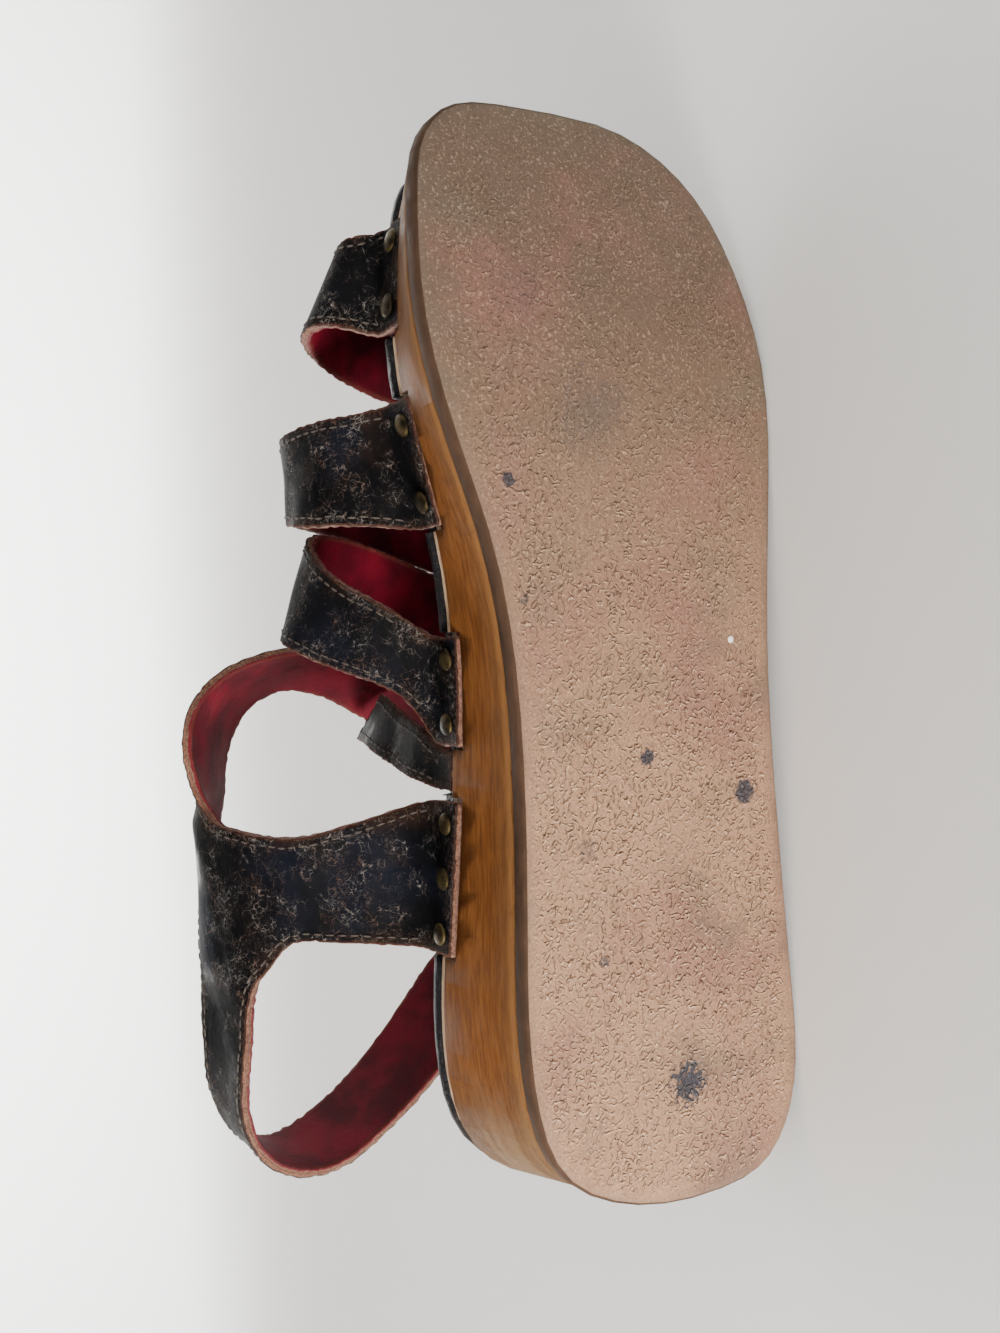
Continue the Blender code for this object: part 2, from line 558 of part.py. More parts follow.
def lay_down(cutters):
    """Puts every piece under one empty that lays the sandal on its lateral side, on the floor."""
    bpy.context.view_layer.update()
    pieces = [o for o in bpy.context.scene.objects if o.type == "MESH" and o not in cutters]
    cloud, mass, centre = [], 0.0, np.zeros(3)
    for o in pieces:
        bm = bmesh.new()
        bm.from_mesh(o.data)
        bmesh.ops.triangulate(bm, faces=bm.faces)
        for f in bm.faces:
            a, b, c = [np.array(v.co) for v in f.verts]
            vol = a.dot(np.cross(b, c)) / 6
            mass += vol
            centre += vol * (a + b + c) / 4
        cloud += [v.co.copy() for v in bm.verts]
        bm.free()
    centre /= mass
    hull = bmesh.new()
    for v in cloud:
        hull.verts.new(v)
    bmesh.ops.convex_hull(hull, input=hull.verts)
    hull.normal_update()
    best = None
    for f in hull.faces:
        nrm = np.array(f.normal)
        a, b, c = [np.array(v.co) for v in f.verts[:3]]
        if nrm.dot(a - centre) < 0:
            nrm = -nrm
        foot = centre + nrm * nrm.dot(a - centre)
        inside = all(np.cross(q - p, foot - p).dot(np.cross(b - a, c - a)) >= -1e-12
                     for p, q in ((a, b), (b, c), (c, a)))
        if inside and nrm[1] > 0.8 and (best is None or nrm[1] > best[1]):
            best = nrm
    hull.free()
    down = best if best is not None else np.array([0.0, 1.0, 0.0])
    z_axis = -down
    x_axis = np.array([1.0, 0, 0]) - z_axis * z_axis[0]
    x_axis /= np.linalg.norm(x_axis)
    y_axis = np.cross(z_axis, x_axis)
    turn = Matrix((x_axis, y_axis, z_axis))
    moved = np.array([tuple(turn @ v) for v in cloud])
    lo, hi = moved.min(axis=0), moved.max(axis=0)
    empty = bpy.data.objects.new("sandal", None)
    bpy.context.scene.collection.objects.link(empty)
    shift = Matrix.Translation((-(lo[0] + hi[0]) / 2, -(lo[1] + hi[1]) / 2, -lo[2]))
    empty.matrix_world = shift @ turn.to_4x4()
    for o in pieces + cutters:
        o.parent = empty


lay_down(build())
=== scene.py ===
import math
import bpy
import bmesh
import numpy as np
from mathutils import Matrix, Vector, noise
from mathutils.bvhtree import BVHTree
from mathutils.kdtree import KDTree
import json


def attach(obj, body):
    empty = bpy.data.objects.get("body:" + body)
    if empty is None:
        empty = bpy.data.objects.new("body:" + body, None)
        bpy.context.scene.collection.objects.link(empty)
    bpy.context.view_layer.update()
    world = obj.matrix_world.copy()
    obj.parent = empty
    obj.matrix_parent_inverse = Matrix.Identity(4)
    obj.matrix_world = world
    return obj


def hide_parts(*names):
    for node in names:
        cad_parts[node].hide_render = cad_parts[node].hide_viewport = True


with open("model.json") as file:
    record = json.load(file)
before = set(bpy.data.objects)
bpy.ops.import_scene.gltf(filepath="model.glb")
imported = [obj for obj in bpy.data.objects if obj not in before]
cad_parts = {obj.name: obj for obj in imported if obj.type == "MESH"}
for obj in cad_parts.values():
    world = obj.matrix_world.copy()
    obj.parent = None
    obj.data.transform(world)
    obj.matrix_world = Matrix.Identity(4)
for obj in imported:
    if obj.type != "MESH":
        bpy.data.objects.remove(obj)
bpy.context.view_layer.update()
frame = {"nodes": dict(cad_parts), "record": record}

# Outsole: one sheet of brown rubber with a worm grain rolled into its walking face, cut to the sole's
# outline and cemented under the wood. It is worn smoother at the toe and round its margin, and has spots of
# tar. The sandal's own measures start here: along from the heel, toward the medial side, up from that face.
HEEL_TREAD_ALONG = 0.050        # the heel tread's middle, from the back of the heel
SAME_SPOT = 1e-6                # vertices closer than this are one
FLAT = 0.002                    # faces that differ less than this, in radians, are one
SHARP = math.radians(35.0)      # an edge that bends more stays sharp
FACE_GRID = 0.0050, 0.0035      # the outsole's faces, along and across
SOLE_FACE_COSINE = -0.8         # faces that look down more than this are the walking face,
SIDE_COSINE = 0.5               # and those that look up or down less than this are its sides
treads = {m["name"]: m for m in frame["record"]["mounts"]}
UP = -Vector(treads["heel_tread"]["axis"]).normalized()
ALONG = (Vector(treads["forepart_tread"]["pos_m"]) - Vector(treads["heel_tread"]["pos_m"])).normalized()
MEDIAL = ALONG.cross(UP)
HEEL_BACK = Vector(treads["heel_tread"]["pos_m"]) - ALONG * HEEL_TREAD_ALONG
AXES = np.array([ALONG, MEDIAL, UP])


def shoe_measures(points):
    """Points of the row frame as along, medial and up."""
    return (np.asarray(points, float) - np.array(HEEL_BACK)) @ AXES.T


def in_frame(along, medial, up):
    """A place in the row frame from the sandal's measures."""
    return HEEL_BACK + ALONG * along + MEDIAL * medial + UP * up


def corners(mesh):
    """A mesh's vertices, one row each."""
    points = np.zeros(len(mesh.vertices) * 3, np.float32)
    mesh.vertices.foreach_get("co", points)
    return points.reshape(-1, 3).astype(float)


def record_value(mesh, name, values):
    """Keeps one number, or one vector, for each vertex under a name that the finishes read."""
    values = np.asarray(values, np.float32)
    kind, key = ("FLOAT_VECTOR", "vector") if values.ndim == 2 else ("FLOAT", "value")
    mesh.attributes.new(name, kind, "POINT").data.foreach_set(key, values.ravel())


def copy_of(node):
    """The CAD node's form as a bmesh with its doubles merged."""
    form = bmesh.new()
    form.from_mesh(frame["nodes"][node].data)
    bmesh.ops.remove_doubles(form, verts=form.verts, dist=SAME_SPOT)
    form.normal_update()
    return form


def piece(name, form, replaced, finishes):
    """Turns a bmesh into a finished piece that rides with the sandal and stands for its CAD nodes."""
    mesh = bpy.data.meshes.new(name)
    form.to_mesh(mesh)
    form.free()
    for finish in finishes:
        mesh.materials.append(finish)
    mesh.shade_smooth()
    mesh.set_sharp_from_angle(angle=SHARP)
    record_value(mesh, "measures", shoe_measures(corners(mesh)))
    made = bpy.data.objects.new(name, mesh)
    bpy.context.scene.collection.objects.link(made)
    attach(made, "root")
    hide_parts(*replaced)
    return made


def sliced(form, spacings):
    """Cuts the form by planes across the along and medial directions, so that its flat faces get a grid."""
    bmesh.ops.dissolve_limit(form, angle_limit=FLAT, verts=form.verts, edges=form.edges)
    for direction, spacing in spacings:
        reach = [(v.co - HEEL_BACK).dot(direction) for v in form.verts]
        for place in np.arange(min(reach) + spacing / 2, max(reach), spacing):
            every = form.verts[:] + form.edges[:] + form.faces[:]
            bmesh.ops.bisect_plane(form, geom=every, plane_co=HEEL_BACK + direction * place,
                                   plane_no=direction, dist=SAME_SPOT)
    bmesh.ops.triangulate(form, faces=[f for f in form.faces if len(f.verts) > 4])
    return form


class Finish:
    """A material as it is built up: each method adds a node or a few and gives the last one's output."""

    def __init__(self, name):
        self.material = bpy.data.materials.new(name)
        self.material.use_nodes = True
        self.nodes = self.material.node_tree.nodes
        self.links = self.material.node_tree.links
        self.shader = self.nodes["Principled BSDF"]

    def node(self, kind, output, settings=None, **sockets):
        """Adds one node. Its inputs are given by name, or by s and their number."""
        made = self.nodes.new(kind)
        for key, value in (settings or {}).items():
            setattr(made, key, value)
        for key, value in sockets.items():
            self.put(made.inputs[int(key[1:])] if key[1:].isdigit() else made.inputs[key], value)
        return made.outputs[output]

    def put(self, socket, value):
        if isinstance(value, bpy.types.NodeSocket):
            self.links.new(value, socket)
        else:
            socket.default_value = value

    def kept(self, name, output="Fac"):
        return self.node("ShaderNodeAttribute", output, {"attribute_name": name})

    def stretched(self, where, factors):
        return self.node("ShaderNodeVectorMath", 0, {"operation": "MULTIPLY"}, s0=where, s1=factors)

    def place(self, factors=(1.0, 1.0, 1.0)):
        """The sandal's measures in metres, stretched by a factor along, across and up."""
        return self.stretched(self.kept("measures", "Vector"), factors)

    def from_heel(self):
        return self.node("ShaderNodeSeparateXYZ", 0, None, s0=self.kept("measures", "Vector"))

    def gap_to(self, where, along, medial):
        """How far a place on the walking face is from a spot there."""
        spot = (along, medial, 0.0)
        return self.node("ShaderNodeVectorMath", "Value", {"operation": "DISTANCE"}, s0=where, s1=spot)

    def cloud(self, where, scale, detail=3.0, rough=0.55, output="Fac"):
        return self.node("ShaderNodeTexNoise", output, None, Vector=where, Scale=scale, Detail=detail,
                         Roughness=rough)

    def stirred(self, where, scale, by):
        """Places moved about by a noise, in metres."""
        push = self.cloud(where, scale, 2.0, output="Color")
        push = self.node("ShaderNodeVectorMath", 0, {"operation": "SUBTRACT"}, s0=push, s1=(0.5, 0.5, 0.5))
        return self.node("ShaderNodeVectorMath", 0, {"operation": "MULTIPLY_ADD"}, s0=push, s1=(by, by, by),
                         s2=where)

    def cell_edge(self, where, scale):
        return self.node("ShaderNodeTexVoronoi", "Distance", {"feature": "DISTANCE_TO_EDGE"}, Vector=where,
                         Scale=scale)

    def ridge(self, where, scale, half):
        """Winding ridges along the middle value of a noise."""
        off = self.calc("ABSOLUTE", self.calc("SUBTRACT", self.cloud(where, scale, 0.0), 0.5))
        return self.fade(off, half, 0.01)

    def calc(self, operation, a, b=0.0):
        return self.node("ShaderNodeMath", 0, {"operation": operation}, s0=a, s1=b)

    def fade(self, value, start, stop, low=0.0, high=1.0):
        """Smooth step of a value from start to stop."""
        return self.node("ShaderNodeMapRange", 0, {"interpolation_type": "SMOOTHSTEP"}, s0=value, s1=start,
                         s2=stop, s3=low, s4=high)

    def paint(self, share, under, over):
        return self.node("ShaderNodeMix", 2, {"data_type": "RGBA"}, s0=share, s6=under, s7=over)

    def relief(self, height, depth):
        return self.node("ShaderNodeBump", 0, None, Height=height, Distance=depth, Strength=1.0)

    def done(self, color, rough, normal=None, **fixed):
        self.put(self.shader.inputs["Base Color"], color)
        self.put(self.shader.inputs["Roughness"], rough)
        if normal is not None:
            self.put(self.shader.inputs["Normal"], normal)
        for key, value in fixed.items():
            self.shader.inputs[key.replace("_", " ")].default_value = value
        return self.material


def rgb(red, green, blue):
    """Colour from the 0 to 255 numbers of a screen, by the standard curve of screens."""
    channels = (red, green, blue)
    return tuple(((c / 255 + 0.055) / 1.055) ** 2.4 if c > 10 else c / 3295 for c in channels) + (1.0,)


RUBBER_HEEL = rgb(156, 120, 94)
RUBBER_TOE_WORN_AND_SHADED = rgb(96, 78, 64)
RUBBER_PINK = rgb(128, 88, 78)
RUBBER_GREY = rgb(98, 86, 72)
# The next two are the fine grain's pale and dark tones, and also the worms' painted highlight and painted
# shade
RUBBER_PALE_AND_HIGHLIGHT = rgb(214, 180, 148)
RUBBER_DARK_AND_SHADE = rgb(62, 44, 32)
RUBBER_SIDE = rgb(64, 48, 37)
RUBBER_SIDE_WORN = rgb(74, 54, 41)
GRAIN = 640.0                   # worm grain, per metre
GRAIN_HALF = 0.105              # half width of a worm, as a share of the noise it follows
GRAIN_DEPTH = 0.0005
GRAIN_STIR = 760.0, 0.0012      # how the worms wind: noise per metre, and how far it moves them
TO_LIT_SIDE = (-0.00022, -0.00014, 0.0)     # from a worm's middle to its side with the painted highlight, in metres
MARGIN = 0.0060                 # smooth margin
MARGIN_EDGE = 0.0012            # its outermost part, without any grain
TOE_WEAR_AND_SHADE = 0.09, 0.235          # along the sole, where the toe's wear and its painted shade start and where they are full
# Spots on the walking face: place, along, toward the medial side, radius, in metres, how dark, how ragged
SPOTS = [
    ("joint tar", 0.1763, 0.0320, 0.0017, 0.85, 0.5),
    ("seat tar", 0.0635, 0.0174, 0.0014, 0.65, 0.9),
    ("heel tar", 0.0289, -0.0036, 0.0048, 0.92, 1.3),
    ("waist tar", 0.1092, 0.0004, 0.0020, 0.90, 0.6),
    ("lateral tar", 0.0968, -0.0285, 0.0030, 0.90, 0.5),
    ("seat smudge", 0.0902, 0.0195, 0.0028, 0.35, 1.0),
    ("joint smudge", 0.1492, 0.0308, 0.0012, 0.55, 0.8),
    ("toe smudge", 0.2503, 0.0341, 0.0062, 0.30, 1.2),
    ("forepart smudge", 0.1916, 0.0079, 0.0090, 0.22, 1.4),
    ("ball smudge", 0.2198, 0.0224, 0.0070, 0.18, 1.4),
]
TAR = rgb(38, 42, 52)
TAR_GRIT = rgb(120, 128, 140)
FLECK_AT = 0.1351, -0.0282      # white fleck of paint, along and toward the medial side
FLECK_RADIUS = 0.0010
FLECK_WHITE = rgb(244, 242, 238)


def tar_spots(f, here):
    """How much tar lies on the rubber: ragged round spots."""
    tar = None
    for _, along, medial, radius, dark, ragged in SPOTS:
        uneven = f.calc("SUBTRACT", f.cloud(here, 620.0, 3.0, 0.7), 0.5)
        uneven = f.calc("MULTIPLY", uneven, ragged * 3.2)
        gap = f.calc("DIVIDE", f.gap_to(here, along, medial), radius)
        spot = f.calc("MULTIPLY", f.fade(f.calc("ADD", gap, uneven), 1.15, 0.75), dark)
        tar = spot if tar is None else f.calc("MAXIMUM", tar, spot)
    return tar


def rubber_face():
    f = Finish("rubber_walking_face")
    here = f.place()
    margin = f.fade(f.kept("margin"), MARGIN_EDGE, MARGIN)
    toward_toe = f.fade(f.from_heel(), *TOE_WEAR_AND_SHADE)
    stirred = f.stirred(here, *GRAIN_STIR)
    toward_lamp = f.node("ShaderNodeVectorMath", 0, {"operation": "ADD"}, s0=stirred, s1=TO_LIT_SIDE)
    strong = f.calc("MULTIPLY", margin, f.fade(toward_toe, 0.0, 1.0, 1.0, 0.45))
    strong = f.calc("MULTIPLY", strong, f.fade(f.cloud(here, 55.0, 2.0), 0.34, 0.60, 0.4, 1.0))
    shown = f.calc("MULTIPLY", strong, f.fade(f.cloud(here, GRAIN * 0.75, 1.0), 0.43, 0.52))
    worm = f.calc("MULTIPLY", f.ridge(stirred, GRAIN, GRAIN_HALF), shown)
    beside = f.calc("MULTIPLY", f.ridge(toward_lamp, GRAIN, GRAIN_HALF), shown)
    # Painted highlight on each worm's side toward the key lamp, and painted shade on its other side
    worm_highlight = f.fade(f.calc("SUBTRACT", worm, beside), 0.04, 0.45)
    worm_shade = f.fade(f.calc("SUBTRACT", beside, worm), 0.04, 0.45)
    fine = f.cloud(stirred, 1300.0, 2.0, 0.6)
    height = f.calc("ADD", worm, f.calc("MULTIPLY", fine, 0.5))
    # Darker toward the toe: partly wear, partly painted shade where the key lamp's light falls off
    color = f.paint(toward_toe, RUBBER_HEEL, RUBBER_TOE_WORN_AND_SHADED)
    color = f.paint(f.fade(f.cloud(here, 24.0, 3.0), 0.46, 0.68, 0.0, 0.65), color, RUBBER_PINK)
    greyed = f.fade(f.cloud(f.place((1.3, 0.9, 1.0)), 34.0, 4.0), 0.50, 0.74, 0.0, 0.60)
    color = f.paint(greyed, color, RUBBER_GREY)
    color = f.paint(f.fade(fine, 0.56, 0.70, 0.0, 0.30), color, RUBBER_PALE_AND_HIGHLIGHT)
    color = f.paint(f.fade(fine, 0.46, 0.32, 0.0, 0.34), color, RUBBER_DARK_AND_SHADE)
    color = f.paint(f.calc("MULTIPLY", worm_highlight, f.fade(toward_toe, 0.0, 1.0, 0.62, 0.26)), color, RUBBER_PALE_AND_HIGHLIGHT)
    color = f.paint(f.calc("MULTIPLY", worm_shade, 0.80), color, RUBBER_DARK_AND_SHADE)
    color = f.paint(f.fade(f.kept("margin"), 0.0040, 0.0005, 0.0, 0.35), color, RUBBER_GREY)
    color = f.paint(f.fade(f.kept("margin"), MARGIN_EDGE, 0.0002, 0.0, 0.5), color, RUBBER_SIDE)
    tar = tar_spots(f, here)
    grit = f.fade(f.cloud(stirred, 1700.0, 2.0), 0.58, 0.66, 0.0, 0.45)
    color = f.paint(tar, color, f.paint(grit, TAR, TAR_GRIT))
    fleck = f.fade(f.gap_to(here, *FLECK_AT), FLECK_RADIUS, FLECK_RADIUS * 0.7)
    color = f.paint(fleck, color, FLECK_WHITE)
    rough = f.fade(f.cloud(here, 90.0), 0.3, 0.7, 0.66, 0.84)
    rough = f.calc("SUBTRACT", rough, f.calc("MULTIPLY", tar, 0.3))
    return f.done(color, rough, f.relief(height, GRAIN_DEPTH), Specular_IOR_Level=0.25)


def rubber_side():
    f = Finish("rubber_cut_side")
    here = f.place()
    color = f.paint(f.fade(f.cloud(here, 130.0, 4.0), 0.35, 0.7), RUBBER_SIDE, RUBBER_SIDE_WORN)
    scratches = f.cloud(f.place((60.0, 60.0, 900.0)), 1.0, 3.0)
    height = f.calc("ADD", scratches, f.cloud(here, 1400.0))
    return f.done(color, 0.7, f.relief(height, 0.00012), Specular_IOR_Level=0.08)


sole = sliced(copy_of("outsole"), ((MEDIAL, FACE_GRID[1]), (ALONG, FACE_GRID[0])))
sole.normal_update()
for face in sole.faces:
    face.material_index = 0 if face.normal.dot(UP) < SOLE_FACE_COSINE else 1
outsole = piece("outsole_rubber_sheet", sole, ["outsole"], [rubber_face(), rubber_side()])
measures = shoe_measures(corners(outsole.data))
sides = [p for p in outsole.data.polygons if abs(p.normal.dot(UP)) < SIDE_COSINE]
rim = [measures[v] for v in {v for p in sides for v in p.vertices}]
tree = KDTree(len(rim))
for number, spot in enumerate(rim):
    tree.insert((spot[0], spot[1], 0.0), number)
tree.balance()
record_value(outsole.data, "margin", [tree.find((m[0], m[1], 0.0))[2] for m in measures])

# Wooden platform: one block of pale hardwood, grain along the shoe, sawn and sanded to the outline and
# varnished in an orange brown. End grain shows in wavy bands round the heel. The rubber is cemented under it.
WOOD_WARM = rgb(122, 76, 37)
WOOD_DEEP = rgb(90, 52, 23)
WOOD_PALE = rgb(150, 106, 62)
WOOD_GREY = rgb(84, 67, 48)
WOOD_PORE = rgb(74, 40, 18)
WOOD_END_GRAIN = rgb(130, 108, 80)
STRIPE = 0.0042                         # pale stripe above the rubber
HEEL_END = 0.042, 0.012                 # along the sole, where the heel's grey starts and is full
TOE_END = 0.17, 0.25                    # and the toe's
GRAIN_LINES = (95.0, 640.0, 900.0)      # noise per metre along, across and up, so that it runs along the shoe
PORE_LINES = (170.0, 1500.0, 3000.0)
WIDE_LINES = (9.0, 40.0, 70.0)
END_BANDS = (30.0, 24.0, 210.0)
WOOD_GRID = 0.006
SOLE_LENGTH = 0.268
STATIONS = 68                           # places along the sole where the rubber's upper face is found
STATION_REACH = 0.012                   # and how far before and after them it is looked for


def wood_finish():
    f = Finish("varnished_wood")
    here = f.place()
    above = f.kept("above_rubber")
    heel = f.fade(f.from_heel(), *HEEL_END)
    toe = f.fade(f.from_heel(), *TOE_END)
    grain = f.cloud(f.stretched(f.stirred(here, 14.0, 0.004), GRAIN_LINES), 1.0, 4.0, 0.6)
    pores = f.fade(f.cloud(f.place(PORE_LINES), 1.0, 2.0, 0.6), 0.58, 0.70)
    wide = f.cloud(f.place(WIDE_LINES), 1.0, 2.0)
    color = f.paint(f.fade(grain, 0.28, 0.74), WOOD_DEEP, WOOD_WARM)
    color = f.paint(f.fade(wide, 0.40, 0.75, 0.0, 0.35), color, WOOD_DEEP)
    color = f.paint(f.fade(above, STRIPE * 2.6, STRIPE, 0.0, 0.30), color, WOOD_GREY)
    color = f.paint(f.fade(above, STRIPE, 0.0016, 0.0, 0.40), color, WOOD_PALE)
    bands = f.fade(f.cloud(f.stretched(f.stirred(here, 60.0, 0.004), END_BANDS), 1.0, 1.0), 0.38, 0.64)
    color = f.paint(f.calc("MULTIPLY", heel, 0.68), color, WOOD_GREY)
    color = f.paint(f.calc("MULTIPLY", f.calc("MULTIPLY", heel, bands), 0.5), color, WOOD_END_GRAIN)
    color = f.paint(f.calc("MULTIPLY", toe, 0.45), color, WOOD_GREY)
    color = f.paint(f.calc("MULTIPLY", pores, 0.5), color, WOOD_PORE)
    color = f.paint(f.fade(f.cloud(here, 44.0, 5.0), 0.62, 0.82, 0.0, 0.4), color, WOOD_DEEP)
    color = f.paint(f.fade(above, 0.0009, 0.0, 0.0, 0.6), color, WOOD_PORE)
    height = f.calc("SUBTRACT", f.calc("MULTIPLY", grain, 0.5), pores)
    rough = f.fade(f.cloud(here, 60.0), 0.3, 0.7, 0.42, 0.58)
    return f.done(color, rough, f.relief(height, 0.00008), Specular_IOR_Level=0.04)


block = sliced(copy_of("wood_platform"), ((ALONG, WOOD_GRID),))
wood = piece("wooden_platform", block, ["wood_platform"], [wood_finish()])
measures = shoe_measures(corners(frame["nodes"]["outsole"].data))
stations = np.linspace(0.0, SOLE_LENGTH, STATIONS)
upper = [max(measures[np.abs(measures[:, 0] - s) < STATION_REACH][:, 2]) for s in stations]
measures = shoe_measures(corners(wood.data))
record_value(wood.data, "above_rubber", measures[:, 2] - np.interp(measures[:, 0], stations, upper))

# Board and footbed: a board of raw vegetable leather on the wood, and over it the padded insole wrapped in
# black leather, its edge glossy. Both are let in where the straps go down.
BOARD_RAW = rgb(214, 188, 156)
BOARD_DIRT = rgb(150, 118, 90)
FOOTBED_BLACK = rgb(26, 25, 27)
FOOTBED_WORN = rgb(62, 52, 46)
FOOTBED_GRID = 0.006


def board_finish():
    f = Finish("raw_leather_board")
    here = f.place()
    fibres = f.cloud(f.place((140.0, 140.0, 1500.0)), 1.0, 4.0, 0.7)
    color = f.paint(f.fade(fibres, 0.35, 0.7), BOARD_DIRT, BOARD_RAW)
    return f.done(color, 0.85, f.relief(f.calc("ADD", fibres, f.cloud(here, 1800.0)), 0.0002))


def footbed_finish():
    f = Finish("footbed_leather_black")
    here = f.place()
    grain = f.cell_edge(f.stirred(here, 500.0, 0.0006), 760.0)
    worn = f.fade(f.cloud(here, 34.0, 4.0), 0.52, 0.74, 0.0, 0.6)
    color = f.paint(worn, FOOTBED_BLACK, FOOTBED_WORN)
    height = f.calc("ADD", f.fade(grain, 0.0, 0.16), f.calc("MULTIPLY", f.cloud(here, 60.0), 2.0))
    rough = f.fade(f.cloud(here, 70.0), 0.3, 0.7, 0.28, 0.46)
    return f.done(color, rough, f.relief(height, 0.00010), Specular_IOR_Level=0.08)


piece("leather_board_edge", copy_of("leather_board"), ["leather_board"], [board_finish()])
insole = sliced(copy_of("footbed"), ((ALONG, FOOTBED_GRID), (MEDIAL, FOOTBED_GRID)))
piece("footbed_wrapped", insole, ["footbed"], [footbed_finish()])

# Cross straps, tab and quarters: two plies, black crackled leather outside and dark red lining inside,
# stitched 2 mm from their edges and cut raw. Their ends go down over the wood's edge into shallow notches.
LEATHER_BLACK = rgb(9, 9, 11)
LEATHER_BLUE_SHEEN = rgb(15, 18, 28)
LEATHER_BROWN = rgb(34, 23, 18)
CRACK = rgb(190, 180, 172)
CRACK_BROWN = rgb(132, 104, 88)
LINING_RED = rgb(104, 8, 30)
LINING_RED_SHADED = rgb(66, 4, 18)
RAW_TAN = rgb(156, 114, 90)
RAW_BROWN = rgb(96, 56, 42)
FRAY = 0.00044                      # how far the raw edges wander
FRAY_NOISE = 700.0                  # how often, per metre
PAIR_FACES = math.radians(35)       # triangles that bend less than this become one face
PAIR_SHAPE = math.radians(80)
KEEN = math.radians(50)             # an edge that bends more parts outside, lining and raw edge
KEEN_CREASE = 0.9                   # how much of it the subdivision keeps
CREASE_SOFT = 2.2                   # added to a crease's half width, in millimetres
# Creases, listed by CAD node, in the sandal's measures in millimetres: from, to, depth, half width
CREASES = {
    "toe_strap": [
        ((238, 49, 34), (216, 52, 36), -0.50, 1.6), ((236, 50, 41), (222, 53, 45), 0.40, 1.8),
        ((232, 47, 52), (214, 51, 60), -0.55, 2.0)],
    "ball_strap": [
        ((197, 52, 40), (174, 50, 41), -0.60, 1.6), ((196, 56, 47), (180, 57, 49), 0.45, 2.0),
        ((190, 59, 58), (172, 60, 62), -0.45, 2.2), ((192, 57, 66), (180, 58, 74), -0.50, 1.8)],
    "instep_strap": [
        ((146, 45, 40), (124, 43, 42), -0.70, 1.6), ((152, 51, 50), (134, 51, 50), 0.55, 2.0),
        ((166, 54, 62), (146, 62, 66), -0.60, 2.0), ((168, 52, 70), (148, 60, 74), 0.50, 2.2)],
    "instep_tab": [
        ((118, 34, 60), (110, 38, 66), -0.40, 1.6)],
    "medial_quarter_and_ankle_strap": [
        ((100, 48, 44), (66, 50, 44), -0.75, 1.5), ((99, 54, 50), (68, 54, 51), 0.60, 1.7),
        ((97, 60, 55), (70, 58, 56), -0.70, 1.8), ((95, 66, 62), (78, 65, 63), 0.45, 2.2),
        ((92, 76, 72), (74, 74, 70), -0.55, 2.4), ((98, 84, 84), (62, 82, 82), -0.70, 2.6),
        ((112, 84, 92), (92, 80, 104), 0.60, 2.4), ((58, 84, 78), (56, 84, 96), -0.50, 2.6),
        ((118, 84, 90), (116, 70, 108), -0.60, 2.2), ((126, 76, 92), (122, 64, 110), 0.45, 2.2),
        ((10, 76, 82), (6, 74, 100), -0.45, 2.4), ((24, 84, 78), (26, 86, 96), 0.45, 2.6)],
    "lateral_quarter": [
        ((62, -44, 44), (96, -44, 44), -0.60, 1.6), ((62, -46, 52), (92, -46, 53), 0.50, 1.8),
        ((64, -40, 66), (88, -40, 68), -0.50, 2.2)],
}
# Straps: piece, CAD node, levels of subdivision, and a place inside its loop in the sandal's measures
STRAPS = [
    ("toe_strap_leather", "toe_strap", 3, (0.215, 0.0, 0.035)),
    ("ball_strap_leather", "ball_strap", 3, (0.175, 0.0, 0.035)),
    ("instep_strap_leather", "instep_strap", 3, (0.135, 0.0, 0.035)),
    ("instep_tab_leather", "instep_tab", 3, (0.112, 0.0, 0.060)),
    ("medial_quarter_leather", "medial_quarter_and_ankle_strap", 2, (0.065, 0.030, 0.095)),
    ("lateral_quarter_leather", "lateral_quarter", 2, (0.065, 0.030, 0.095)),
]
OUTSIDE, LINING, RAW = 0, 1, 2      # a strap's three finishes, in the order of its materials


